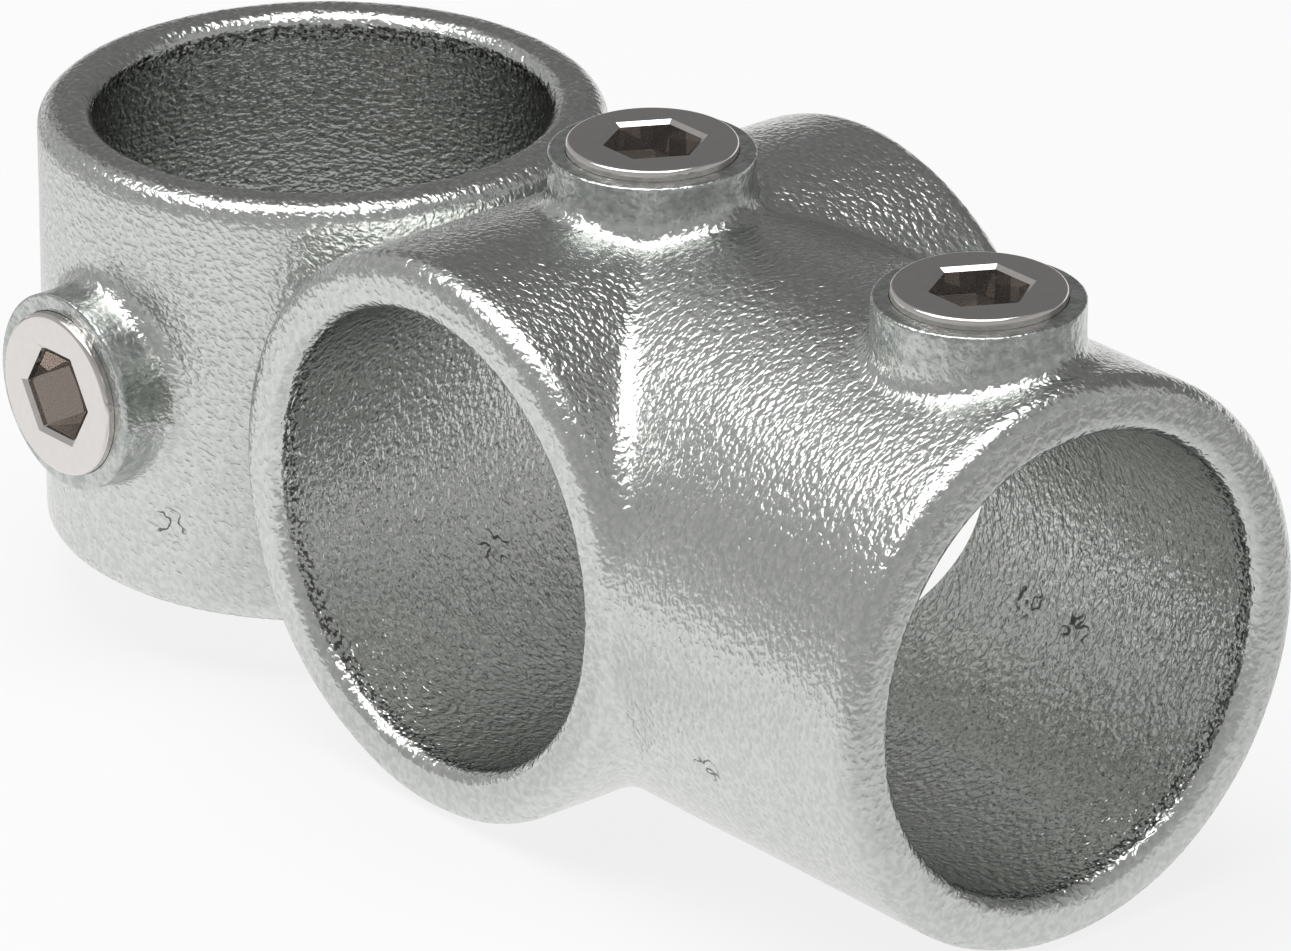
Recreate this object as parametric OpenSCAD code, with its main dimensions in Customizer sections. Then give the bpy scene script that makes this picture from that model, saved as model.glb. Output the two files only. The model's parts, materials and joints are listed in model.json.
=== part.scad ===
// Cross tee tube clamp: one galvanised casting with three sleeves, and three hexagon socket set screws.
// The rail sleeve runs right through along X. The socket leaves it at a right angle, towards -Y.
// The upright sleeve stands beside the rail sleeve, on its +Y side, and runs right through along Z.
// The origin is where the axes of the rail sleeve and the socket cross, and Z points up. Units are mm.

/* [Tube and sleeves] */
// Outside diameter of the tube that every sleeve takes
tube_d = 42.4; // [38:0.1:48]
// Radial gap between the tube and the cast bore
tube_gap = 0.7; // [0.3:0.05:1.2]
// Wall thickness of the sleeves
sleeve_wall = 5.4; // [4.5:0.1:7]
// Length of the rail sleeve, mouth to mouth
rail_len = 55; // [50:0.5:90]
// Length of the upright sleeve, mouth to mouth
upright_len = 43.2; // [42:0.2:80]
// Distance from the rail axis to the mouth of the socket
socket_reach = 58.7; // [55:0.1:90]
// Metal left between the upright bore and the rail bore
bore_web = 4.9; // [3:0.1:7]

/* [Bosses] */
// Diameter of the round boss under each set screw
boss_d = 19.4; // [18:0.1:21]
// Height of a boss above the crown of its sleeve
boss_height = 4.4; // [3:0.1:8]
// Distance from the mouth of the socket to the axis of its boss
socket_boss_setback = 13.9; // [13:0.1:18]

/* [Rounded edges and corners] */
// Rounding of the outer edge of a sleeve's mouth
rim_round = 2.2; // [1:0.1:2.4]
// Rounding of the inner edge of a sleeve's mouth
mouth_round = 1.8; // [0.8:0.1:2]
// Fillet where a boss meets its sleeve
boss_fillet = 2; // [1:0.1:3]
// Fillet in the corner between the rail sleeve and the socket
corner_fillet = 2.5; // [1:0.1:4]
// Fillet in the groove between the rail sleeve and the upright sleeve
groove_fillet = 0.9; // [0.4:0.1:2]

/* [Set screws] */
// Outside diameter of the set screw's thread
screw_d = 16; // [12:0.5:16]
// Radial running clearance of the screw in its hole
screw_gap = 0.05; // [0.02:0.01:0.1]
// Height of the screw's face above the boss
screw_proud = 1; // [0.4:0.1:3]
// Gap between the screw's point and the tube bore's wall, with the screw backed off
point_setback = 0.3; // [0.1:0.1:1]
// Rounding of the edge of the screw's face
face_round = 0.45; // [0.2:0.05:0.8]
// Width across the flats of the hexagon socket
key_af = 8; // [5:0.1:8]
// Depth of the hexagon socket
key_depth = 6; // [4:0.1:6.5]
// Width of the bevel round the mouth of the hexagon socket
key_bevel = 0.5; // [0.2:0.05:0.8]
// Chamfer at the edge of the screw's point
point_chamfer = 1; // [0.4:0.1:1.5]
// Diameter of the cup in the screw's point
cup_d = 9; // [6:0.5:9]
// Depth of the cup in the screw's point
cup_depth = 2; // [1:0.1:2.5]

/* [Hidden] */
$fn = 128;

bore_r = tube_d / 2 + tube_gap;
sleeve_r = bore_r + sleeve_wall;
upright_y = 2 * bore_r + bore_web;
boss_r = boss_d / 2;
boss_top = sleeve_r + boss_height;
face_top = boss_top + screw_proud;
screw_r = screw_d / 2;
screw_hole_r = screw_r + screw_gap;
screw_len = face_top - bore_r - point_setback;
socket_boss_y = socket_boss_setback - socket_reach;
key_r = key_af / sqrt(3);
bevel_r = key_bevel * 2 / sqrt(3);

// The boss fillet ends where the rounded rim begins
boss_round = min(boss_fillet, socket_boss_setback - boss_r - rim_round);
// The groove fillet stays under the upright's rounded rim
groove_limit = pow(upright_len / 2 - rim_round, 2) / upright_y + upright_y - 2 * sleeve_r;
groove_round = min(groove_fillet, groove_limit / 2);

// Past a face or into a void, so that no cut leaves a skin
over = 1;
// A fillet's edges lie this far under the surfaces that they run into
sink = 0.04;
// A fillet's root lies this far inside the metal
root = 1;
// Steps round a boss, along a corner and across each fillet
ring_steps = 48;
corner_steps = 20;
arc_steps = 6;
// The corner fillet starts where the rail sleeve's rounded rim ends, and fades out near the crown
rim_start = rail_len / 2 - rim_round;
corner_start = acos(min(1, rim_start / sleeve_r));
corner_end = 70;

// Direction a share f of the way round the arc from unit vector a to unit vector b
function turned(a, b, f) =
    let (whole = acos(a * b))
    (sin((1 - f) * whole) * a + sin(f * whole) * b) / sin(whole);

// Section of a rolling ball fillet: the ball's centre, the directions of its two contacts, its radius and
// a point inside the metal
function fillet_section(centre, toward_a, toward_b, r, inside) = concat(
    [for (i = [0:arc_steps]) centre + (r + sink) * turned(toward_a, toward_b, i / arc_steps)],
    [inside]
);

// Side of a skin over rows of n points each, between row a and row b
function skin_side(a, b, n) = [
    for (j = [0:n - 1])
        let (k = (j + 1) % n)
        each [[a * n + j, b * n + j, b * n + k], [a * n + j, b * n + k, a * n + k]]
];

// Skin over a closed ring of sections
module ring_skin(sections) {
    n = len(sections[0]);
    rows = len(sections);
    polyhedron(
        points = [for (s = sections) each s],
        faces = [for (i = [0:rows - 1]) each skin_side(i, (i + 1) % rows, n)]
    );
}

// Skin over an open row of sections, closed at both ends
module row_skin(sections) {
    n = len(sections[0]);
    last = len(sections) - 1;
    polyhedron(
        points = [for (s = sections) each s],
        faces = concat(
            [for (i = [0:last - 1]) each skin_side(i, i + 1, n)],
            [for (j = [1:n - 2]) [0, j, j + 1]],
            [for (j = [1:n - 2]) [last * n, last * n + j + 1, last * n + j]]
        )
    );
}

// Half section of a solid sleeve with rounded outer edges, from its axis outwards
module sleeve_profile(length) {
    translate([0, rim_round]) square([sleeve_r, length - 2 * rim_round]);
    square([sleeve_r - rim_round, length]);
    for (y = [rim_round, length - rim_round])
        translate([sleeve_r - rim_round, y]) circle(rim_round);
}

// Half section of a solid socket, rounded at its mouth only. It ends flat on the rail's axis
module socket_profile() {
    translate([0, rim_round]) square([sleeve_r, socket_reach - rim_round]);
    square([sleeve_r - rim_round, socket_reach]);
    translate([sleeve_r - rim_round, rim_round]) circle(rim_round);
}

// Half section of the bore's mouth: it flares out to the end face along a rounded edge
module mouth_profile() {
    difference() {
        translate([0, -over]) square([bore_r + mouth_round, over + mouth_round]);
        translate([bore_r + mouth_round, mouth_round]) circle(mouth_round);
    }
}

// Bore on Z from a rounded mouth at 0 up to the given length. A through bore has a second mouth there
module bore_cut(length, through) {
    rotate_extrude() {
        square([bore_r, length]);
        mouth_profile();
        if (through) translate([0, length]) mirror([0, 1]) mouth_profile();
    }
}

// Turns a shape on Z onto the rail's axis, centred
module on_rail_axis() {
    translate([rail_len / 2, 0, 0]) rotate([0, -90, 0]) children();
}

// Turns a shape on Z onto the socket's axis, from the socket's mouth inwards
module on_socket_axis() {
    translate([0, -socket_reach, 0]) rotate([-90, 0, 0]) children();
}

// Puts a shape on Z onto the upright's axis, centred
module on_upright_axis() {
    translate([0, upright_y, -upright_len / 2]) children();
}

// The three places of a boss, its hole and its screw: Z turns to point out through the boss
module at_socket_boss() {
    translate([0, socket_boss_y, 0]) children();
}

module at_upright_boss() {
    translate([0, upright_y, 0]) rotate([0, -90, 0]) children();
}

// Rolling ball fillet round the foot of a boss that stands on the crown of a sleeve along X.
// Where crossed is true, the socket joins there, and the ball rolls on whichever sleeve is higher.
module boss_foot(crossed) {
    reach = boss_r + boss_round;
    ball_r = sleeve_r + boss_round;
    ring_skin([
        for (i = [0:ring_steps - 1])
            let (
                a = 360 * i / ring_steps,
                outwards = [cos(a), sin(a), 0],
                x = reach * outwards[0],
                y = reach * outwards[1],
                on_socket = crossed && y < 0 && abs(x) < abs(y),
                off_axis = on_socket ? x : y,
                z = sqrt(pow(ball_r, 2) - pow(off_axis, 2)),
                foot_z = sqrt(pow(sleeve_r, 2) - pow(off_axis * boss_r / reach, 2)),
                toward_sleeve = (on_socket ? [-x, 0, -z] : [0, -y, -z]) / ball_r
            )
            fillet_section([x, y, z], -outwards, toward_sleeve, boss_round,
                (boss_r - root) * outwards + [0, 0, foot_z - root])
    ]);
}

// Rolling ball fillet in one of the four corners between the rail sleeve and the socket: the -X +Z one.
// The ball shrinks to nothing where the corner runs into the rounded rim of the rail sleeve.
module corner_web() {
    row_skin([
        for (i = [0:corner_steps])
            let (
                a = corner_start + (corner_end - corner_start) * i / corner_steps,
                r = min(corner_fillet, rim_start / cos(a) - sleeve_r + sink),
                centre = (sleeve_r + r) * [-cos(a), -cos(a), sin(a)],
                toward_rail = -[0, centre[1], centre[2]] / (sleeve_r + r),
                toward_socket = -[centre[0], 0, centre[2]] / (sleeve_r + r)
            )
            fillet_section(centre, toward_rail, toward_socket, r,
                centre * (sleeve_r - root) / (sleeve_r + r))
    ]);
}

// Point of the loop on which cylinders of radius r round the rail's and the upright's axes cross
function loop_point(r, a) =
    let (
        half = upright_y / 2,
        y = half - (r - half) * cos(2 * a)
    )
    [
        sign(sin(a)) * sqrt(max(0, pow(r, 2) - pow(y - upright_y, 2))),
        y,
        sign(cos(a)) * sqrt(max(0, pow(r, 2) - pow(y, 2)))
    ];

// Rolling ball fillet all round the groove between the rail sleeve and the upright sleeve
module groove_web() {
    ball_r = sleeve_r + groove_round;
    middle = [0, upright_y / 2, 0];
    ring_skin([
        for (i = [0:ring_steps - 1])
            let (
                a = 360 * i / ring_steps,
                centre = loop_point(ball_r, a),
                crease = loop_point(sleeve_r, a),
                toward_rail = -[0, centre[1], centre[2]] / ball_r,
                toward_upright = -[centre[0], centre[1] - upright_y, 0] / ball_r
            )
            fillet_section(centre, toward_upright, toward_rail, groove_round,
                crease + root * (middle - crease) / norm(middle - crease))
    ]);
}

// Boss on Z, from the sleeve's axis up, with the fillet round its foot
module boss(crossed) {
    cylinder(h = boss_top, r = boss_r);
    boss_foot(crossed);
}

// Hole on Z for a set screw, from inside the tube bore out through the boss
module screw_hole() {
    translate([0, 0, bore_r / 2]) cylinder(h = boss_top - bore_r / 2 + over, r = screw_hole_r);
}

// What would stand past the rail's mouths where the socket is wider than the rail sleeve is long
module past_rail_mouths() {
    for (x = [0, 1])
        mirror([x, 0, 0]) translate([rail_len / 2 + sink, -socket_reach - over, -sleeve_r - over])
            cube([sleeve_r, socket_reach + over, 2 * (sleeve_r + over)]);
}

// The casting, galvanised all over
module casting() {
    color([0.62, 0.64, 0.63]) difference() {
        union() {
            on_rail_axis() rotate_extrude() sleeve_profile(rail_len);
            on_upright_axis() rotate_extrude() sleeve_profile(upright_len);
            on_socket_axis() rotate_extrude() socket_profile();
            boss(true);
            at_socket_boss() rotate([0, 0, 90]) boss(false);
            at_upright_boss() boss(false);
            for (x = [0, 1], z = [0, 1])
                mirror([x, 0, 0]) mirror([0, 0, z]) corner_web();
            groove_web();
        }
        on_rail_axis() bore_cut(rail_len, true);
        on_upright_axis() bore_cut(upright_len, true);
        on_socket_axis() bore_cut(socket_reach, false);
        screw_hole();
        at_socket_boss() screw_hole();
        at_upright_boss() screw_hole();
        past_rail_mouths();
    }
}

// Half section of a set screw with its face at 0 and its cup point down
module screw_profile() {
    shank_end = point_chamfer - screw_len;
    translate([0, shank_end]) square([screw_r, -face_round - shank_end]);
    translate([0, -face_round]) square([screw_r - face_round, face_round]);
    translate([screw_r - face_round, -face_round]) circle(face_round);
    polygon([
        [0, cup_depth - screw_len],
        [cup_d / 2, -screw_len],
        [screw_r - point_chamfer, -screw_len],
        [screw_r, shank_end],
        [0, max(shank_end, cup_depth - screw_len)]
    ]);
}

// Hexagon socket cut down from 0, with a bevel round its mouth
module key_socket() {
    rotate([0, 0, 30]) {
        translate([0, 0, -key_depth]) cylinder(h = key_depth + over, r = key_r, $fn = 6);
        translate([0, 0, -key_bevel])
            cylinder(h = 2 * key_bevel, r1 = key_r, r2 = key_r + 2 * bevel_r, $fn = 6);
    }
}

// Set screw on Z, backed off so that its face stands proud of the boss
module set_screw() {
    color([0.66, 0.64, 0.62]) translate([0, 0, face_top]) difference() {
        rotate_extrude() screw_profile();
        key_socket();
    }
}

module set_screw_rail() {
    set_screw();
}

module set_screw_socket() {
    at_socket_boss() set_screw();
}

module set_screw_upright() {
    at_upright_boss() set_screw();
}

casting();
set_screw_rail();
set_screw_socket();
set_screw_upright();
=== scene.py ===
"""Looks of the cross tee tube clamp: a galvanised casting with three sleeves, and three hexagon socket set screws.

Lengths are in metres, in the frame of the CAD: the rail sleeve runs along X, the socket towards -Y, and the upright
sleeve stands along Z on the +Y side. The origin is where the axes of the rail sleeve and the socket cross. Inside the
materials, lengths are in millimetres.
"""

import json
import math

import bpy
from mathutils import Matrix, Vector


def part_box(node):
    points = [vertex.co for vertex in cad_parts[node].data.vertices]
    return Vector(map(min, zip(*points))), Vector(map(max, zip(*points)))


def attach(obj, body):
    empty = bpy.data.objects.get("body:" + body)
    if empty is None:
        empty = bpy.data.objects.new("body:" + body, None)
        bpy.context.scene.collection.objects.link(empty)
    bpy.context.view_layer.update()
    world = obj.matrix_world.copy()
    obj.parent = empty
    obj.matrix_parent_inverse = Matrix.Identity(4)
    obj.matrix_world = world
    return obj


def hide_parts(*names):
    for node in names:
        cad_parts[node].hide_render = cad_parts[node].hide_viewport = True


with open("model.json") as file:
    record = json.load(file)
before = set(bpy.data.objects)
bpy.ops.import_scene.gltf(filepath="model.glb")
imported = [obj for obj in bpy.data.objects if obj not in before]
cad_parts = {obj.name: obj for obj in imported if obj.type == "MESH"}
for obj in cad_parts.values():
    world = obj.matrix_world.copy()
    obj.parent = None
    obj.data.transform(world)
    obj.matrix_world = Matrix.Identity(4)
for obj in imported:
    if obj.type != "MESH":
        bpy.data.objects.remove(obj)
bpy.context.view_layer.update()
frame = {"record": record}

MM = 0.001
X_AXIS, Y_AXIS, Z_AXIS, MINUS_X = (1, 0, 0), (0, 1, 0), (0, 0, 1), (-1, 0, 0)

# Sizes and places that the frame gives
mounts = {m["name"]: m for m in frame["record"]["mounts"]}
casting_low, casting_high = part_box("casting")
rail_screw_low, rail_screw_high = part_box("set_screw_rail")
socket_screw_low, socket_screw_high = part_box("set_screw_socket")
BORE_R = mounts["rail_bore"]["dims"]["r_mm"] * MM
UPRIGHT_Y = mounts["upright_bore"]["pos_m"][1]
SLEEVE_R = -casting_low.z
RAIL_HALF = casting_high.x
SOCKET_REACH = -casting_low.y
BOSS_TOP = casting_high.z
FACE_TOP = rail_screw_high.z
SCREW_R = rail_screw_high.x
SCREW_LENGTH = rail_screw_high.z - rail_screw_low.z
SOCKET_BOSS_Y = (socket_screw_low.y + socket_screw_high.y) / 2

# Rounded edges, bosses and screws, as in the part's source
RIM_ROUND = 2.2 * MM
MOUTH_ROUND = 1.8 * MM
UPRIGHT_HALF = mounts["upright_bore"]["dims"]["length_mm"] / 2 * MM + MOUTH_ROUND
BOSS_R = 9.7 * MM
BOSS_FILLET = 2 * MM
CORNER_FILLET = 2.5 * MM
GROOVE_FILLET = 0.9 * MM
BOSS_EDGE = 0.35 * MM
HOLE_R = SCREW_R + 0.05 * MM
FACE_ROUND = 0.45 * MM
KEY_R = 8 * MM / math.sqrt(3)
KEY_DEPTH = 6 * MM
KEY_BEVEL = 0.5 * MM
POINT_CHAMFER = 1 * MM
CUP_R = 4.5 * MM
CUP_DEPTH = 2 * MM

# What the looks add: the mould's unevenness, and the screws' thread, which starts under a plain top
WAVINESS = 0.15 * MM
THREAD_PITCH = 2 * MM
THREAD_DEPTH = 1.2 * MM
PLAIN_TOP = 2 * MM

# How the casting is made: a boss starts inside its sleeve and stands past its top, where it is faced off
CELL = 0.7 * MM
SKIN_STEPS = 2
WAVES_PER_METRE = 70.0
BOSS_FOOT = 12 * MM
BOSS_SPARE = 1.2 * MM
BOSS_BLANK_RIM = 0.3 * MM
DRILL_FOOT = 10 * MM
TOOL_PAST = 1 * MM
FACING_WIDE = 3 * MM

# How a screw is made
POINT_EDGE = 0.15 * MM
CUP_EDGE = 0.1 * MM
THREAD_ROOT_HALF = 0.18 * MM
THREAD_HALF_ANGLE = math.radians(30)
GROOVE_PAST = 0.5 * MM
KEY_BEVEL_ANGLE = math.radians(32)
PILOT_SHARE = 0.97
PILOT_TIP = 0.3
PILOT_START = 1.5 * MM

# Sides of what is turned, and the angle in degrees from which an edge is sharp
BORE_SIDES, CASTING_TOOL_SIDES, SCREW_SIDES, PILOT_SIDES = 192, 128, 144, 96
THREAD_STEPS_PER_TURN = 72
ROUNDING_STEPS = 8
SHARP_EDGE = 30

# Small scuffs of the zinc, by their places in millimetres
SCUFFS = (
    (-25.9, 40.1, -12.5), (-4.6, 17.6, -13.0), (19.6, -37.0, -9.7), (19.9, -30.5, -9.1), (-25.7, -37.6, -9.2),
)

# The name under which a screw keeps which of its faces lie in the key socket
IN_KEY = "in key socket"

# Tones of the metals and of the studio
ZINC_LOW, ZINC_HIGH = (0.5725, 0.591, 0.567, 1), (0.683, 0.693, 0.673, 1)
# The bosses' clouds: a random tone, darker overall than the sleeves as a painted reflection of the sleeves round them
BOSS_CLOUD_AND_REFLECTION_DARK, BOSS_CLOUD_AND_REFLECTION_PALE = (0.37, 0.395, 0.375, 1), (0.60, 0.615, 0.60, 1)
# Painted light in the rail and socket bores, which are lighter than the zinc, and painted shade in the upright's bore
PAINTED_BORE_LIGHT, PAINTED_UPRIGHT_BORE_SHADE = (0.77, 0.78, 0.76, 1), (0.42, 0.43, 0.41, 1)
# One dark for the flecks in the bores, the scuffs, and the painted shade along the bores' mouths
FLECK_SCUFF_AND_SHADE_DARK = (0.03, 0.03, 0.03, 1)
STEEL_LOW, STEEL_HIGH = (0.70, 0.665, 0.64, 1), (0.76, 0.73, 0.71, 1)
# Painted shade inside the hexagon key socket
KEY_SOCKET_SHADE = (0.62, 0.585, 0.56, 1)
WHITE = (1, 1, 1, 1)
# The floor's own tone, then the painted shade that only the metal sees on the floor
FLOOR_GREY, PAINTED_SHEET_SHADE = (0.85, 0.85, 0.85, 1), (0.38, 0.38, 0.38, 1)
LOW_WALLS, HIGH_WALLS, DARK_WALL = (0.47, 0.47, 0.47, 1), (0.38, 0.38, 0.38, 1), (0.19, 0.19, 0.19, 1)


class Value:
    """A socket in an expression: the operators add the nodes that work it out."""

    def __init__(self, net, socket):
        self.net, self.socket = net, socket

    def __add__(self, other):
        return self.net.calc("ADD", self, other)

    def __radd__(self, other):
        return self.net.calc("ADD", other, self)

    def __sub__(self, other):
        return self.net.calc("SUBTRACT", self, other)

    def __rsub__(self, other):
        return self.net.calc("SUBTRACT", other, self)

    def __mul__(self, other):
        return self.net.calc("MULTIPLY", self, other)

    def __rmul__(self, other):
        return self.net.calc("MULTIPLY", other, self)

    def __truediv__(self, other):
        return self.net.calc("DIVIDE", self, other)

    def __rtruediv__(self, other):
        return self.net.calc("DIVIDE", other, self)

    def __pow__(self, other):
        return self.net.calc("POWER", self, other)

    def __gt__(self, other):
        return self.net.calc("GREATER_THAN", self, other)

    def __lt__(self, other):
        return self.net.calc("LESS_THAN", self, other)

    def __neg__(self):
        return self * -1


def is_vector(x):
    if isinstance(x, Value):
        return x.socket.type in ("VECTOR", "RGBA")
    return isinstance(x, (tuple, Vector))


def find_socket(sockets, key):
    """A socket by its place, or the first one in use with that name or identifier."""
    if isinstance(key, int):
        return sockets[key]
    return next(s for s in sockets if s.enabled and key in (s.name, s.identifier))


class Node:
    """A node whose outputs are read by name, as values for expressions."""

    def __init__(self, net, node):
        self.net, self.node = net, node

    def __getitem__(self, key):
        return Value(self.net, find_socket(self.node.outputs, key))


class Net:
    """One node tree, of geometry or of a shader."""

    def __init__(self, tree):
        self.tree = tree

    def feed(self, socket, value):
        """Links a value, or each of a list of values, to a socket, or sets a constant on it."""
        if isinstance(value, (Value, list)):
            for one in value if isinstance(value, list) else [value]:
                self.tree.links.new(one.socket, socket)
        else:
            socket.default_value = value

    def node(self, kind, settings=None, values=None):
        """Adds a node: its settings come first, then the values or links of its sockets."""
        node = self.tree.nodes.new(kind)
        for name, setting in (settings or {}).items():
            if name == "choices":
                while len(node.index_switch_items) < setting:
                    node.index_switch_items.new()
            else:
                setattr(node, name, setting)
        for key, value in (values or {}).items():
            self.feed(find_socket(node.inputs, key), value)
        return Node(self, node)

    def calc(self, operation, a, b=None):
        """One sum on numbers or on vectors. A vector is multiplied or divided by a number."""
        if is_vector(a) and not is_vector(b) and operation in ("MULTIPLY", "DIVIDE"):
            return self.vector("SCALE", a, Scale=b if operation == "MULTIPLY" else 1 / b)
        if is_vector(b) and not is_vector(a):
            return self.vector("SCALE", b, Scale=a)
        if is_vector(a):
            return self.vector(operation, a, b)
        values = {0: a} if b is None else {0: a, 1: b}
        return self.node("ShaderNodeMath", {"operation": operation}, values)[0]

    def vector(self, operation, a, b=None, out="Vector", **more):
        values = {0: a} | ({1: b} if b is not None else {}) | more
        return self.node("ShaderNodeVectorMath", {"operation": operation}, values)[out]

    def dot(self, a, b):
        return self.vector("DOT_PRODUCT", a, b, out="Value")

    def length(self, a):
        return self.vector("LENGTH", a, out="Value")

    def unit(self, a):
        return self.vector("NORMALIZE", a)

    def larger(self, a, b):
        return self.calc("MAXIMUM", a, b)

    def smaller(self, a, b):
        return self.calc("MINIMUM", a, b)

    def root(self, a):
        return self.calc("SQRT", a)

    def absolute(self, a):
        return self.calc("ABSOLUTE", a)

    def xyz(self, x, y, z):
        return self.node("ShaderNodeCombineXYZ", None, {"X": x, "Y": y, "Z": z})["Vector"]

    def parts(self, a):
        node = self.node("ShaderNodeSeparateXYZ", None, {0: a})
        return node["X"], node["Y"], node["Z"]

    def mix(self, factor, a, b, kind="FLOAT"):
        """a where the factor is 0, b where it is 1."""
        return self.node("ShaderNodeMix", {"data_type": kind}, {"Factor": factor, "A": a, "B": b})["Result"]

    def ease(self, value, low, high):
        """0 below low, 1 above high, and smooth between."""
        values = {"Value": value, "From Min": low, "From Max": high}
        return self.node("ShaderNodeMapRange", {"interpolation_type": "SMOOTHSTEP"}, values)["Result"]

    def noise(self, point, scale, detail=0.0, roughness=0.5, distortion=0.0):
        """Soft random heights round 0.5, with scale as their count along one unit."""
        values = {"Vector": point, "Scale": scale, "Detail": detail, "Roughness": roughness, "Distortion": distortion}
        return self.node("ShaderNodeTexNoise", None, values)["Fac"]


# Geometry trees


def geometry_group(name, inputs, outputs):
    """An empty tree with named inputs and outputs: its net, its inputs' values and its output node."""
    tree = bpy.data.node_groups.new(name, "GeometryNodeTree")
    for in_out, sockets in (("INPUT", inputs), ("OUTPUT", outputs)):
        for title, sort in sockets.items():
            tree.interface.new_socket(title, in_out=in_out, socket_type="NodeSocket" + sort)
    net = Net(tree)
    given = net.node("NodeGroupInput")
    return net, given, net.node("NodeGroupOutput").node


def call(net, tree, **values):
    """Uses one tree inside another. Underscores in the names stand for spaces."""
    values = {name.replace("_", " "): value for name, value in values.items()}
    return net.node("GeometryNodeGroup", {"node_tree": tree}, values)


def rounded_bar_tree():
    """Distance of a point from a round bar with rounded ends, and the way straight out from it."""
    inputs = {
        "Point": "Vector", "Centre": "Vector", "Axis": "Vector", "Radius": "Float", "Half Length": "Float",
        "Rim": "Float",
    }
    net, given, out = geometry_group("Rounded bar", inputs, {"Distance": "Float", "Outward": "Vector"})
    never_zero = 1e-9
    away = given["Point"] - given["Centre"]
    along = net.dot(away, given["Axis"])
    across = away - given["Axis"] * along
    reach = net.larger(net.length(across), never_zero)
    side = reach - (given["Radius"] - given["Rim"])
    end = net.absolute(along) - (given["Half Length"] - given["Rim"])
    side_out, end_out = net.larger(side, 0.0), net.larger(end, 0.0)
    inside = net.smaller(net.larger(side, end), 0.0)
    distance = net.root(side_out * side_out + end_out * end_out) - given["Rim"] + inside
    net.feed(out.inputs["Distance"], distance)
    outward = across * ((side_out + never_zero) / reach) + given["Axis"] * (net.calc("SIGN", along) * end_out)
    net.feed(out.inputs["Outward"], net.unit(outward))
    return net.tree


def rolling_union_tree():
    """Joins two bodies with the fillet that a ball rolls along their corner."""
    inputs = {
        "Distance A": "Float", "Outward A": "Vector", "Distance B": "Float", "Outward B": "Vector", "Radius": "Float",
    }
    net, given, out = geometry_group("Rolling union", inputs, {"Distance": "Float", "Outward": "Vector"})
    a, b = given["Distance A"] - given["Radius"], given["Distance B"] - given["Radius"]
    lean = net.dot(given["Outward A"], given["Outward B"])
    spread = net.larger(1 - lean * lean, 1e-4)
    share_a, share_b = (lean * b - a) / spread, (lean * a - b) / spread
    to_ball = given["Outward A"] * share_a + given["Outward B"] * share_b
    b_nearer = given["Distance B"] < given["Distance A"]
    nearer = net.smaller(given["Distance A"], given["Distance B"])
    # Only in the corner itself, and never deep inside the metal
    in_fillet = (net.smaller(share_a, share_b) > 0.0) * (nearer > given["Radius"] * -0.5)
    net.feed(out.inputs["Distance"], net.mix(in_fillet, nearer, given["Radius"] - net.length(to_ball)))
    outward = net.mix(b_nearer, given["Outward A"], given["Outward B"], "VECTOR")
    net.feed(out.inputs["Outward"], net.mix(in_fillet, outward, net.unit(to_ball), "VECTOR"))
    return net.tree


def cast_body_tree(bar, union):
    """Distance of a point from the casting without its bores: three sleeves and three bosses, filleted together."""
    titles = (
        "Sleeve Radius", "Rail Half Length", "Socket Reach", "Upright Half Length", "Upright Y", "Socket Boss Y",
        "Rim Round", "Boss Radius", "Boss Top", "Boss Fillet", "Corner Fillet", "Groove Fillet",
    )
    sizes = {title: "Float" for title in titles}
    outputs = {"Distance": "Float", "Outward": "Vector"}
    net, given, out = geometry_group("Cast body", {"Point": "Vector"} | sizes, outputs)

    def sleeve(centre, axis, half):
        return call(net, bar, Point=given["Point"], Centre=centre, Axis=axis, Radius=given["Sleeve Radius"],
                    Half_Length=half, Rim=given["Rim Round"])

    def boss(x, y, axis):
        low, high = BOSS_FOOT, given["Boss Top"] + BOSS_SPARE
        centre = net.xyz(x, y, 0.0) + axis * ((high + low) / 2)
        return call(net, bar, Point=given["Point"], Centre=centre, Axis=axis, Radius=given["Boss Radius"],
                    Half_Length=(high - low) / 2, Rim=BOSS_BLANK_RIM)

    def join(a, b, radius):
        return call(net, union, Distance_A=a["Distance"], Outward_A=a["Outward"], Distance_B=b["Distance"],
                    Outward_B=b["Outward"], Radius=radius)

    rail = sleeve((0, 0, 0), X_AXIS, given["Rail Half Length"])
    socket_half = given["Socket Reach"] / 2
    socket = sleeve(net.xyz(0.0, -socket_half, 0.0), Y_AXIS, socket_half)
    upright = sleeve(net.xyz(0.0, given["Upright Y"], 0.0), Z_AXIS, given["Upright Half Length"])
    body = join(rail, socket, given["Corner Fillet"])
    body = join(body, upright, given["Groove Fillet"])
    for y, axis in ((0.0, Z_AXIS), (given["Socket Boss Y"], Z_AXIS), (given["Upright Y"], MINUS_X)):
        body = join(body, boss(0.0, y, axis), given["Boss Fillet"])
    for title in outputs:
        net.feed(out.inputs[title], body[title])
    return net.tree, sizes


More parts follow.
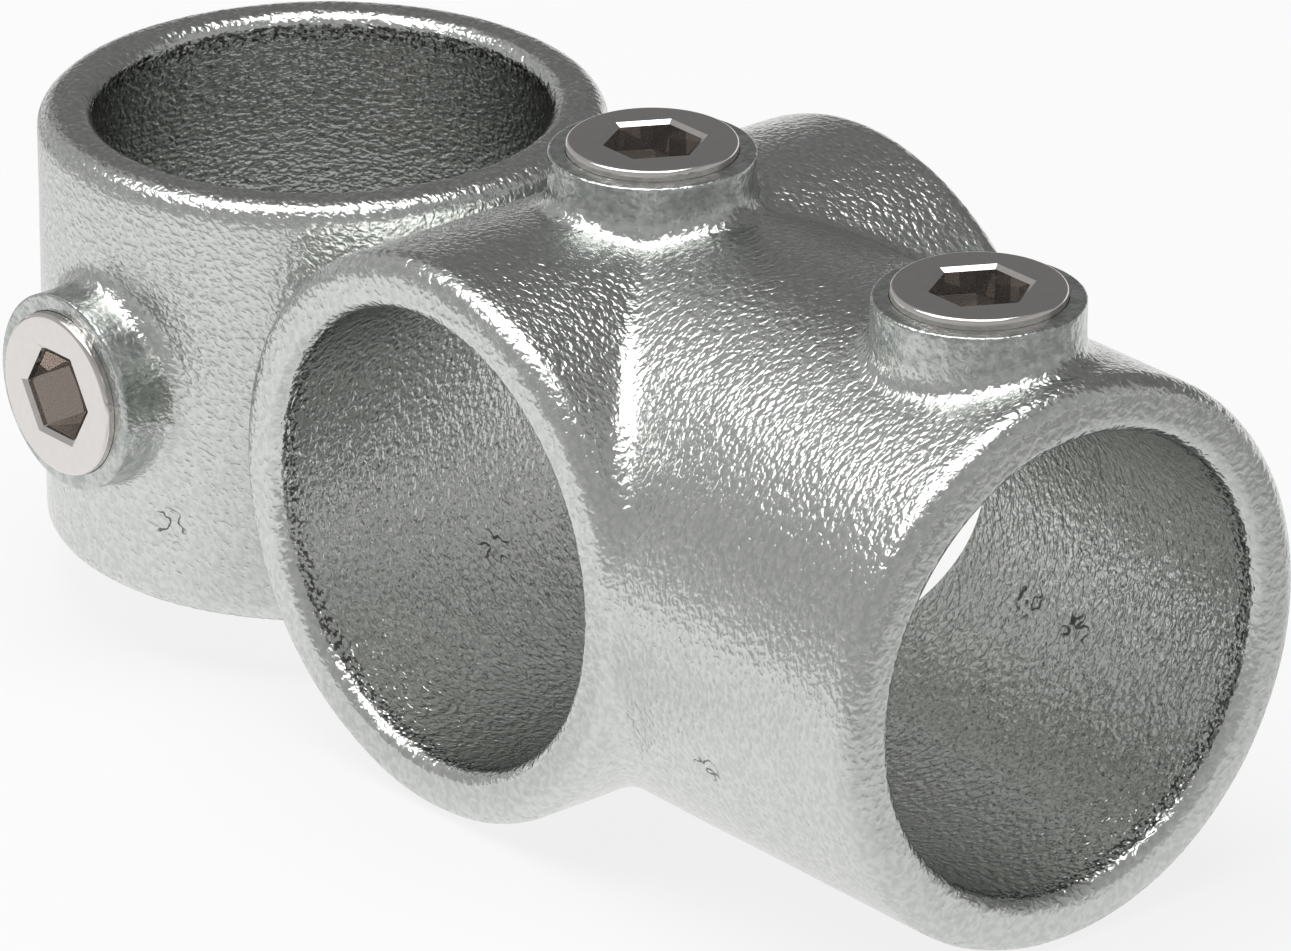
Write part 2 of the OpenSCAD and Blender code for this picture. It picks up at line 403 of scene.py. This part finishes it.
def outline(net, corners):
    """A line in the XZ plane through corners of (radius, height, rounding), where each may be a value."""
    index = net.node("GeometryNodeInputIndex")["Index"]

    def pick(values, kind):
        items = {f"Item_{i}": value for i, value in enumerate(values)}
        settings = {"data_type": kind, "choices": len(values)}
        return net.node("GeometryNodeIndexSwitch", settings, {"Index": index} | items)["Output"]

    line = net.node("GeometryNodeMeshLine", None, {"Count": len(corners)})["Mesh"]
    points = pick([net.xyz(radius, 0.0, height) for radius, height, _ in corners], "VECTOR")
    line = net.node("GeometryNodeSetPosition", None, {"Geometry": line, "Position": points})["Geometry"]
    curve = net.node("GeometryNodeMeshToCurve", None, {"Mesh": line})["Curve"]
    rounding = pick([rounding for _, _, rounding in corners], "FLOAT")
    values = {"Curve": curve, "Count": ROUNDING_STEPS, "Radius": rounding, "Limit Radius": True}
    return net.node("GeometryNodeFilletCurve", {"mode": "POLY"}, values)["Curve"]


def turned_tree():
    """Turns an outline round the Z axis into a closed solid."""
    net, given, out = geometry_group("Turned solid", {"Outline": "Geometry", "Around": "Int"}, {"Mesh": "Geometry"})
    line = net.node("GeometryNodeCurveToMesh", None, {"Curve": given["Outline"]})["Mesh"]
    rows = net.node("GeometryNodeAttributeDomainSize", None, {"Geometry": line})["Point Count"]
    grid = net.node("GeometryNodeMeshGrid", None, {"Vertices X": given["Around"] + 1, "Vertices Y": rows})["Mesh"]
    index = net.node("GeometryNodeInputIndex")["Index"]
    column = net.calc("FLOOR", (index + 0.5) / rows)
    row = index - column * rows
    here = net.node("GeometryNodeInputPosition")["Position"]
    sample = {"Geometry": line, "Value": here, "Index": row}
    point = net.node("GeometryNodeSampleIndex", {"data_type": "FLOAT_VECTOR"}, sample)["Value"]
    radius, _, height = net.parts(point)
    angle = column / given["Around"] * math.tau
    place = net.xyz(radius * net.calc("COSINE", angle), radius * net.calc("SINE", angle), height)
    mesh = net.node("GeometryNodeSetPosition", None, {"Geometry": grid, "Position": place})["Geometry"]
    mesh = net.node("GeometryNodeMergeByDistance", None, {"Geometry": mesh, "Distance": 1e-6})["Geometry"]
    net.feed(out.inputs["Mesh"], mesh)
    return net.tree


def turned(net, tree, sides, corners):
    """A solid turned from an outline of (radius, height, rounding) corners."""
    return call(net, tree, Around=sides, Outline=outline(net, corners))["Mesh"]


def cut(net, mesh, tools):
    """The mesh less the tools."""
    settings = {"operation": "DIFFERENCE", "solver": "MANIFOLD"}
    return net.node("GeometryNodeMeshBoolean", settings, {"Mesh 1": mesh, "Mesh 2": tools})["Mesh"]


def crisp(net, mesh):
    """Smooth faces, with the edges that turn a lot left sharp."""
    turn = net.node("GeometryNodeInputMeshEdgeAngle")["Unsigned Angle"]
    for domain, smooth in (("FACE", True), ("EDGE", turn < math.radians(SHARP_EDGE))):
        values = {"Geometry": mesh, "Shade Smooth": smooth}
        mesh = net.node("GeometryNodeSetShadeSmooth", {"domain": domain}, values)["Geometry"]
    return mesh


def moved(net, mesh, place, turn=(0, 0, 0)):
    values = {"Geometry": mesh, "Translation": place, "Rotation": turn}
    return net.node("GeometryNodeTransform", None, values)["Geometry"]


def finish_tree(net, out, mesh, metal):
    mesh = net.node("GeometryNodeRealizeInstances", None, {"Geometry": mesh})["Geometry"]
    mesh = net.node("GeometryNodeSetMaterial", None, {"Geometry": mesh, "Material": metal})["Geometry"]
    net.feed(out.inputs["Mesh"], mesh)
    return net.tree


def cast_skin(net, given, body, body_sizes):
    """The casting's outer skin, grown round its body's distance."""
    here = net.node("GeometryNodeInputPosition")["Position"]

    def body_here():
        return call(net, body, Point=here, **{title.replace(" ", "_"): given[title] for title in body_sizes})

    def shifted(mesh, offset):
        return net.node("GeometryNodeSetPosition", None, {"Geometry": mesh, "Offset": offset})["Geometry"]

    cell = given["Cell"]
    margin = 2 * cell
    radius, reach, rail_half = given["Sleeve Radius"], given["Socket Reach"], given["Rail Half Length"]
    boss_reach = given["Boss Top"] + BOSS_SPARE
    low = net.xyz(-boss_reach - margin, -reach - margin, -radius - margin)
    high = net.xyz(rail_half + margin, given["Upright Y"] + radius + margin, boss_reach + margin)
    cube = {"Density": 0.5 - body_here()["Distance"] / (4 * cell), "Min": low, "Max": high}
    for name, span in zip("XYZ", net.parts((high - low) / cell)):
        cube["Resolution " + name] = net.calc("CEIL", span)
    volume = net.node("GeometryNodeVolumeCube", None, cube)["Volume"]
    values = {"Volume": volume, "Threshold": 0.5}
    skin = net.node("GeometryNodeVolumeToMesh", {"resolution_mode": "GRID"}, values)["Mesh"]
    # Steps along the way out put each point on the true surface
    for _ in range(SKIN_STEPS):
        at = body_here()
        skin = shifted(skin, at["Outward"] * -at["Distance"])
    # The mould left it a little uneven, never proud of its size
    wave = net.larger(net.noise(here, WAVES_PER_METRE, detail=1.0) - 0.35, 0.0) * 2.0
    return shifted(skin, body_here()["Outward"] * (given["Waviness"] * -wave))


def casting_tree(body, body_sizes, turned_solid):
    """The casting: its outer skin, then bored, drilled and faced."""
    more = {title: "Float" for title in ("Bore Radius", "Mouth Round", "Hole Radius", "Boss Edge", "Cell", "Waviness")}
    net, given, out = geometry_group("Casting", body_sizes | more | {"Metal": "Material"}, {"Mesh": "Geometry"})
    top, hole, boss, edge = given["Boss Top"], given["Hole Radius"], given["Boss Radius"], given["Boss Edge"]
    facing = turned(net, turned_solid, CASTING_TOOL_SIDES, [
        (0.0, top, 0.0), (boss, top, edge), (boss, top - edge, 0.0), (boss + FACING_WIDE, top - edge, 0.0),
        (boss + FACING_WIDE, top + FACING_WIDE, 0.0), (0.0, top + FACING_WIDE, 0.0),
    ])
    drill = turned(net, turned_solid, CASTING_TOOL_SIDES, [
        (0.0, DRILL_FOOT, 0.0), (hole, DRILL_FOOT, 0.0), (hole, top + TOOL_PAST, 0.0), (0.0, top + TOOL_PAST, 0.0),
    ])

    def bore(half, through):
        radius, rounding = given["Bore Radius"], given["Mouth Round"]
        # The corner's rounding is the mouth's own, so the bore opens along a quarter circle
        mouth = [
            (radius, half, rounding), (radius + rounding, half, 0.0), (radius + rounding, half + TOOL_PAST, 0.0),
            (0.0, half + TOOL_PAST, 0.0),
        ]
        other_mouth = [(r, -height, corner) for r, height, corner in reversed(mouth)]
        start = other_mouth if through else [(0.0, 0.0, 0.0), (radius, 0.0, 0.0)]
        return turned(net, turned_solid, BORE_SIDES, start + mouth)

    quarter = math.pi / 2
    upright = net.xyz(0.0, given["Upright Y"], 0.0)
    tools = [
        moved(net, bore(given["Rail Half Length"], True), (0, 0, 0), (0, quarter, 0)),
        moved(net, bore(given["Upright Half Length"], True), upright),
        moved(net, bore(given["Socket Reach"], False), (0, 0, 0), (quarter, 0, 0)),
    ]
    for tool in (facing, drill):
        tools += [
            tool,
            moved(net, tool, net.xyz(0.0, given["Socket Boss Y"], 0.0)),
            moved(net, tool, upright, (0, -quarter, 0)),
        ]
    mesh = cut(net, cast_skin(net, given, body, body_sizes), tools)
    return finish_tree(net, out, crisp(net, mesh), given["Metal"])


def thread_groove(net, given):
    """The V groove of a thread, which starts under the plain top and runs out through the point."""
    turns = (given["Length"] - given["Plain Top"]) / given["Pitch"] + 0.6
    rise = turns * given["Pitch"]
    path = net.node("GeometryNodeCurveSpiral", None, {
        "Resolution": THREAD_STEPS_PER_TURN, "Rotations": turns, "Start Radius": given["Radius"],
        "End Radius": given["Radius"], "Height": rise,
    })["Curve"]
    path = net.node("GeometryNodeSetCurveNormal", {"mode": "Z_UP"}, {"Curve": path})["Curve"]
    depth = given["Thread Depth"]
    mouth_half = THREAD_ROOT_HALF + (depth + GROOVE_PAST) * math.tan(THREAD_HALF_ANGLE)
    section = outline(net, [
        (-depth, -THREAD_ROOT_HALF, 0.0), (GROOVE_PAST, -mouth_half, 0.0), (GROOVE_PAST, mouth_half, 0.0),
        (-depth, THREAD_ROOT_HALF, 0.0),
    ])
    section = moved(net, section, (0, 0, 0), (-math.pi / 2, 0, 0))
    section = net.node("GeometryNodeSetSplineCyclic", None, {"Geometry": section, "Cyclic": True})["Geometry"]
    values = {"Curve": path, "Profile Curve": section, "Fill Caps": True}
    groove = net.node("GeometryNodeCurveToMesh", None, values)["Mesh"]
    return moved(net, groove, net.xyz(0.0, 0.0, -given["Plain Top"] - given["Pitch"] / 2 - rise))


def key_socket(net, given, turned_solid, bevel_depth):
    """The tools of a hexagon key socket: its prism, the bevel of its mouth and the drilled pilot at its bottom."""
    def hexagon(top, bottom, height, foot):
        values = {"Vertices": 6, "Radius Top": top, "Radius Bottom": bottom, "Depth": height}
        cone = net.node("GeometryNodeMeshCone", None, values)["Mesh"]
        return moved(net, cone, net.xyz(0.0, 0.0, foot), net.xyz(0.0, 0.0, given["Key Turn"]))

    key, depth, bevel = given["Key Radius"], given["Key Depth"], given["Key Bevel"]
    prism = hexagon(key, key, depth + bevel, -depth)
    # The bevel's cone goes on as far above the face as it lies under it
    mouth = hexagon(key + bevel * (2 / math.sqrt(3)) * 2, key, bevel_depth * 2, -bevel_depth)
    pilot_r = key * (math.sqrt(3) / 2) * PILOT_SHARE
    pilot = turned(net, turned_solid, PILOT_SIDES, [
        (0.0, -depth - pilot_r * PILOT_TIP, 0.0), (pilot_r, -depth, 0.0), (pilot_r, -PILOT_START, 0.0),
        (0.0, -PILOT_START, 0.0),
    ])
    return [prism, mouth, pilot]


def screw_tree(turned_solid):
    """A set screw under its face, which looks along +Z before its turn: cup point, V thread and hexagon socket."""
    titles = (
        "Radius", "Length", "Face Round", "Key Radius", "Key Depth", "Key Bevel", "Key Turn", "Point Chamfer",
        "Cup Radius", "Cup Depth", "Pitch", "Thread Depth", "Plain Top",
    )
    inputs = {"Place": "Vector", "Turn": "Rotation"} | {title: "Float" for title in titles} | {"Metal": "Material"}
    net, given, out = geometry_group("Set screw", inputs, {"Mesh": "Geometry"})
    radius, length, chamfer = given["Radius"], given["Length"], given["Point Chamfer"]
    cup_depth, key_r = given["Cup Depth"], given["Key Radius"]
    blank = turned(net, turned_solid, SCREW_SIDES, [
        (0.0, -length + cup_depth, 0.0), (given["Cup Radius"], -length, CUP_EDGE),
        (radius - chamfer, -length, POINT_EDGE), (radius, -length + chamfer, POINT_EDGE),
        (radius, 0.0, given["Face Round"]), (0.0, 0.0, 0.0),
    ])
    bevel_depth = given["Key Bevel"] * math.tan(KEY_BEVEL_ANGLE)
    mesh = cut(net, blank, [thread_groove(net, given)] + key_socket(net, given, turned_solid, bevel_depth))

    # Each face is told whether it lies in the key socket: under the bevel, and not in the point's cup
    x, y, z = net.parts(net.node("GeometryNodeInputPosition")["Position"])
    under_bevel, over_cup = z < bevel_depth * -0.9, z > -length + cup_depth + CUP_EDGE
    within = (net.root(x * x + y * y) < key_r) * under_bevel * over_cup
    values = {"Geometry": mesh, "Name": IN_KEY, "Value": within}
    settings = {"data_type": "FLOAT", "domain": "FACE"}
    mesh = net.node("GeometryNodeStoreNamedAttribute", settings, values)["Geometry"]
    mesh = moved(net, crisp(net, mesh), given["Place"], given["Turn"])
    return finish_tree(net, out, mesh, given["Metal"])


def grow(name, tree, values):
    """Runs a geometry tree with these inputs and gives its result as a plain mesh object at the origin."""
    obj = bpy.data.objects.new(name, bpy.data.meshes.new(name))
    bpy.context.scene.collection.objects.link(obj)
    modifier = obj.modifiers.new("Build", "NODES")
    modifier.node_group = tree
    for item in tree.interface.items_tree:
        if item.in_out == "INPUT" and item.name in values:
            value = values[item.name]
            modifier[item.identifier] = list(value) if isinstance(value, (tuple, Vector)) else value
    mesh = bpy.data.meshes.new_from_object(obj.evaluated_get(bpy.context.evaluated_depsgraph_get()))
    obj.modifiers.remove(modifier)
    mesh.name = name
    obj.data = mesh
    print("grown", name, len(mesh.vertices), "points", len(mesh.polygons), "faces")
    return obj


# Metals


def material(name):
    """A material with its net and the object's own coordinates in millimetres."""
    made = bpy.data.materials.new(name)
    made.use_nodes = True
    made.node_tree.nodes.clear()
    net = Net(made.node_tree)
    return made, net, net.node("ShaderNodeTexCoord")["Object"] * 1000.0


def surface(net, **values):
    """Ends a material in a Principled shader. Underscores in the names stand for spaces."""
    values = {name.replace("_", " "): value for name, value in values.items()}
    shader = net.node("ShaderNodeBsdfPrincipled", None, values)["BSDF"]
    net.node("ShaderNodeOutputMaterial", None, {"Surface": shader})


def scuffs(net, point):
    """1 on a few short scratches round the scuffs' places, 0 elsewhere."""
    first, *others = [net.vector("DISTANCE", point, place, out="Value") for place in SCUFFS]
    nearest = first
    for other in others:
        nearest = net.smaller(nearest, other)
    scratch = net.absolute(net.noise(point, 0.55, detail=1.5) - 0.5)
    return (1 - net.ease(nearest, 1.3, 2.1)) * (1 - net.ease(scratch, 0.012, 0.035))


def galvanised():
    """Zinc over cast iron: an orange peel with its own lie on each sleeve, clouded bosses darkened as a painted
    reflection, and dark-flecked bores with painted light and shade, and painted shade along their mouths.
    """
    made, net, point = material("galvanised iron")
    x, y, z = net.parts(point)
    upright_y, beside_upright = UPRIGHT_Y / MM, UPRIGHT_Y / MM / 2
    on_socket = net.ease(-y - net.absolute(x), -1.0, 1.0)
    on_upright = net.ease(y, beside_upright - 1, beside_upright + 1)
    on_boss = net.ease(net.larger(z, -x), SLEEVE_R / MM + 0.3, SLEEVE_R / MM + 1.2)

    # In a bore, whose end is where it meets another or where its mouth's rounding starts
    from_rail = net.root(z * z + y * y)
    from_socket = net.root(x * x + z * z) + net.ease(y, 0.0, 2.0) * 50.0
    from_upright = net.root(x * x + (y - upright_y) ** 2)
    outside = net.smaller(net.smaller(from_rail, from_socket), from_upright) - BORE_R / MM
    bored = outside < 0.15
    ragged = (net.noise(point, 2.2, detail=2.0) - 0.5) * 0.4
    in_bore = 1 - net.ease(outside + ragged, 0.13, 0.18)
    past_end = net.mix(on_upright, net.larger(net.absolute(x) - RAIL_HALF / MM, -y - SOCKET_REACH / MM),
                       net.absolute(z) - UPRIGHT_HALF / MM)
    near_end = net.ease(past_end, -3.4, -2.1)

    def lie(across, squeeze):
        """The direction that dents lie square to, as long as the root of how much they are squeezed."""
        return tuple(Vector(across).normalized() * math.sqrt(squeeze))

    def peel(pull):
        squeezed = point + net.dot(point, pull) * pull
        return net.noise(squeezed, 1.4, detail=1.0, roughness=0.45, distortion=0.3)

    # The upright's lie changes at once, in the groove beside it and along the mouths of its bore
    upright_lie = net.mix(bored, lie((0.42, -0.36, 0.83), 0.6), lie(Z_AXIS, 0.6), "VECTOR")
    pull = net.mix(y > beside_upright, lie(X_AXIS, 0.35), upright_lie, "VECTOR")
    peels = net.mix(on_socket, peel(pull), peel(lie(Y_AXIS, 0.35)))
    fine = net.noise(point, 5.0, detail=2.0, roughness=0.6)
    scuff = scuffs(net, point)
    depth_share = 1.0 + bored * (0.5 - on_upright * 0.4) - on_boss * 0.25
    height = (peels + fine * 0.04) * depth_share - scuff * 0.5
    bump = net.node("ShaderNodeBump", None, {"Strength": 1.0, "Distance": 0.17 * MM, "Height": height})["Normal"]

    clouds = net.noise(point, 0.9, detail=3.0, roughness=0.6)
    colour = net.mix(net.ease(peels, 0.3, 0.7), ZINC_LOW, ZINC_HIGH, "RGBA")
    # Clouded tone on the bosses, partly random and partly a painted reflection of the sleeves, darker than the zinc
    clouds_and_painted_reflection = net.mix(net.ease(clouds, 0.35, 0.65), BOSS_CLOUD_AND_REFLECTION_DARK, BOSS_CLOUD_AND_REFLECTION_PALE, "RGBA")
    colour = net.mix(on_boss * 0.75, colour, clouds_and_painted_reflection, "RGBA")
    # The rail and socket bores are painted lighter; the upright's bore, which stands on the floor, is painted darker
    # as shade
    painted_bore_light_and_shade = net.mix(on_upright, PAINTED_BORE_LIGHT, PAINTED_UPRIGHT_BORE_SHADE, "RGBA")
    colour = net.mix(in_bore * 0.5, colour, painted_bore_light_and_shade, "RGBA")
    # Dark flecks, which crowd at a bore's ends; painted shade in a torn line along the crease where each mouth's
    # rounding meets its bore; and dark scuffs
    torn = net.ease(net.noise(point, 0.9, detail=2.0), 0.38, 0.58) * (0.7 + on_upright * 0.3)
    painted_mouth_shade = in_bore * net.ease(outside, 0.02, 0.05) * torn
    fleck_noise = net.noise(point, 2.6, detail=1.0) + near_end * 0.12
    dark_flecks = net.ease(fleck_noise, 0.63, 0.7) * in_bore * (1.0 + near_end * 0.8)
    # Painted shade along the mouths, with the dark flecks and the scuffs
    flecks_scuffs_and_painted_shade = net.larger(painted_mouth_shade * 0.85, net.larger(dark_flecks * 0.45, scuff * 0.8))
    colour = net.mix(flecks_scuffs_and_painted_shade, colour, FLECK_SCUFF_AND_SHADE_DARK, "RGBA")
    surface(net, Base_Color=colour, Metallic=1.0, Roughness=0.21 + on_boss * 0.06, Normal=bump)
    return made


def plated():
    """Smooth plated steel with faint marks. Inside the key socket it has none, is painted darker as shade in the
    recess, and mirrors more.
    """
    made, net, point = material("plated steel")
    in_key = net.node("ShaderNodeAttribute", {"attribute_name": IN_KEY})["Fac"]
    marks = net.noise(point, 1.2, detail=3.0)
    values = {"Strength": 1.0 - in_key, "Distance": 0.01 * MM, "Height": marks}
    bump = net.node("ShaderNodeBump", None, values)["Normal"]
    # The key socket is painted darker, as painted shade in the recess
    colour = net.mix(in_key, net.mix(marks, STEEL_LOW, STEEL_HIGH, "RGBA"), KEY_SOCKET_SHADE, "RGBA")
    roughness = net.mix(in_key, marks * 0.06 + 0.11, 0.0)
    surface(net, Base_Color=colour, Metallic=1.0 - in_key * 0.08, Roughness=roughness, Normal=bump)
    return made


# The pieces

galvanised_iron = galvanised()
plated_steel = plated()
turned_solid = turned_tree()
cast_body, cast_body_sizes = cast_body_tree(rounded_bar_tree(), rolling_union_tree())

casting = grow("casting_skin", casting_tree(cast_body, cast_body_sizes, turned_solid), {
    "Sleeve Radius": SLEEVE_R, "Rail Half Length": RAIL_HALF, "Socket Reach": SOCKET_REACH,
    "Upright Half Length": UPRIGHT_HALF, "Upright Y": UPRIGHT_Y, "Socket Boss Y": SOCKET_BOSS_Y,
    "Rim Round": RIM_ROUND, "Boss Radius": BOSS_R, "Boss Top": BOSS_TOP, "Boss Fillet": BOSS_FILLET,
    "Corner Fillet": CORNER_FILLET, "Groove Fillet": GROOVE_FILLET, "Bore Radius": BORE_R,
    "Mouth Round": MOUTH_ROUND, "Hole Radius": HOLE_R, "Boss Edge": BOSS_EDGE, "Cell": CELL, "Waviness": WAVINESS,
    "Metal": galvanised_iron,
})
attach(casting, "casting")
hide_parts("casting")

# Where each screw's face is, and how it is turned from looking up
SCREWS = {
    "rail": ((0, 0, FACE_TOP), (0, 0, 0)),
    "socket": ((0, SOCKET_BOSS_Y, FACE_TOP), (0, 0, 0)),
    "upright": ((-FACE_TOP, UPRIGHT_Y, 0), (0, -math.pi / 2, 0)),
}
set_screw = screw_tree(turned_solid)
for title, (place, turn) in SCREWS.items():
    screw = grow(f"{title}_set_screw", set_screw, {
        "Place": place, "Turn": turn, "Radius": SCREW_R, "Length": SCREW_LENGTH, "Face Round": FACE_ROUND,
        "Key Radius": KEY_R, "Key Depth": KEY_DEPTH, "Key Bevel": KEY_BEVEL, "Key Turn": math.pi / 2,
        "Point Chamfer": POINT_CHAMFER, "Cup Radius": CUP_R, "Cup Depth": CUP_DEPTH, "Pitch": THREAD_PITCH,
        "Thread Depth": THREAD_DEPTH, "Plain Top": PLAIN_TOP, "Metal": plated_steel,
    })
    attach(screw, f"{title}_screw")
    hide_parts(f"set_screw_{title}")


# Studio: floor, walls, lamp and camera


def white_floor(height):
    """A white sheet that keeps the object's shadow, and on which only the metal sees painted shade in places."""
    half = 3.0
    corners = [(-half, -half, height), (half, -half, height), (half, half, height), (-half, half, height)]
    mesh = bpy.data.meshes.new("floor")
    mesh.from_pydata(corners, [], [(0, 1, 2, 3)])
    floor = bpy.data.objects.new("floor", mesh)
    bpy.context.scene.collection.objects.link(floor)
    made, net, point = material("white floor")
    rays = net.node("ShaderNodeLightPath")
    seen = net.larger(net.larger(rays["Is Camera Ray"], rays["Is Glossy Ray"]), rays["Is Transmission Ray"])
    mirrored = 1 - rays["Is Camera Ray"]
    x, y, _ = net.parts(point)
    flat = net.xyz(x, y, 0.0)

    def away(from_x, from_y):
        return net.length(flat - (from_x, from_y, 0.0))

    # In the metal the sheet fades into painted shade further off, but for a white stretch behind the object
    behind = net.ease(x, 60.0, 110.0) * net.ease(y, -90.0, -50.0)
    painted_shade_further_off = net.ease(away(-60.0, 60.0), 55.0, 310.0) * (1 - behind)
    # Painted shade in the corner of the rail and the upright, and a painted shadow under the upright's bore
    corner = (1 - net.ease(away(-48.0, 12.0), 0.0, 38.0)) * 0.4
    painted_shadow_under_bore = (1 - net.ease(away(0.0, UPRIGHT_Y / MM), 20.0, 24.0)) * 0.8
    painted_floor_shade = net.larger(painted_shade_further_off, net.larger(corner, painted_shadow_under_bore))
    # The camera sees the sheet white; the metal sees it with this painted shade and shadow
    tone = net.mix(painted_floor_shade * mirrored, WHITE, PAINTED_SHEET_SHADE, "RGBA")
    glow = net.node("ShaderNodeEmission", None, {"Color": tone, "Strength": 1.0})["Emission"]
    lit = net.node("ShaderNodeBsdfDiffuse", None, {"Color": FLOOR_GREY})["BSDF"]
    share = seen * (0.8 + mirrored * 0.2)
    mix = net.node("ShaderNodeMixShader", None, {0: share, 1: lit, 2: glow})["Shader"]
    net.node("ShaderNodeOutputMaterial", None, {"Surface": mix})
    mesh.materials.append(made)


def studio_walls():
    """Grey walls, a dark one behind the object, and white where the camera looks straight at them."""
    world = bpy.data.worlds.new("studio")
    world.use_nodes = True
    world.node_tree.nodes.clear()
    bpy.context.scene.world = world
    net = Net(world.node_tree)
    way = net.unit(net.node("ShaderNodeTexCoord")["Generated"])
    up = net.parts(way)[2]
    dark_turn, dark_rise = math.radians(20), math.radians(18)
    dark_way = Vector((math.cos(dark_turn), math.sin(dark_turn), math.tan(dark_rise))).normalized()
    walls = net.mix(net.ease(up, 0.5, 0.8), LOW_WALLS, HIGH_WALLS, "RGBA")
    walls = net.mix(net.ease(net.dot(way, dark_way), 0.55, 0.78), walls, DARK_WALL, "RGBA")
    rays = net.node("ShaderNodeLightPath")
    low_in_metal = rays["Is Glossy Ray"] * (up < 0.03)
    plain = net.larger(net.larger(rays["Is Camera Ray"], rays["Is Transmission Ray"]), low_in_metal)
    colour = net.mix(plain, walls, WHITE, "RGBA")
    back = net.node("ShaderNodeBackground", None, {"Color": colour, "Strength": 1.0})["Background"]
    net.node("ShaderNodeOutputWorld", None, {"Surface": back})


def softbox(name, place, turn, width, depth, brightness):
    """A soft lamp that looks straight down, turned in degrees. A brightness of 1 is that of a lit white sheet."""
    data = bpy.data.lights.new(name, "AREA")
    data.shape, data.size, data.size_y = "RECTANGLE", width, depth
    data.energy = brightness * math.pi * width * depth
    lamp = bpy.data.objects.new(name, data)
    lamp.location = place
    lamp.rotation_euler.z = math.radians(turn)
    bpy.context.scene.collection.objects.link(lamp)


white_floor(casting_low.z)
studio_walls()
softbox("overhead softbox", place=(-0.27, 0.18, 1.0), turn=-40, width=1.35, depth=0.73, brightness=3.0)

# The camera looks at a point by the origin, from the photograph's side
CAMERA_TURN = math.radians(-40.2516)
CAMERA_ELEVATION = math.radians(24.1424)
CAMERA_DISTANCE = 0.95
LOOK_AT = Vector((-0.58, 0.29, -1.06)) * MM
FRAME_WIDTH, FOCAL_LENGTH = 36, 284.8
toward_object = Vector((
    -math.sin(CAMERA_TURN) * math.cos(CAMERA_ELEVATION),
    math.cos(CAMERA_TURN) * math.cos(CAMERA_ELEVATION),
    -math.sin(CAMERA_ELEVATION),
))
lens = bpy.data.cameras.new("camera")
lens.sensor_width, lens.lens = FRAME_WIDTH, FOCAL_LENGTH
lens.clip_start, lens.clip_end = 0.05, 20
camera = bpy.data.objects.new("camera", lens)
camera.location = LOOK_AT - toward_object * CAMERA_DISTANCE
camera.rotation_euler = toward_object.to_track_quat("-Z", "Y").to_euler()
bpy.context.scene.collection.objects.link(camera)
bpy.context.scene.camera = camera
bpy.context.scene.view_settings.view_transform = "Standard"

bpy.context.view_layer.update()
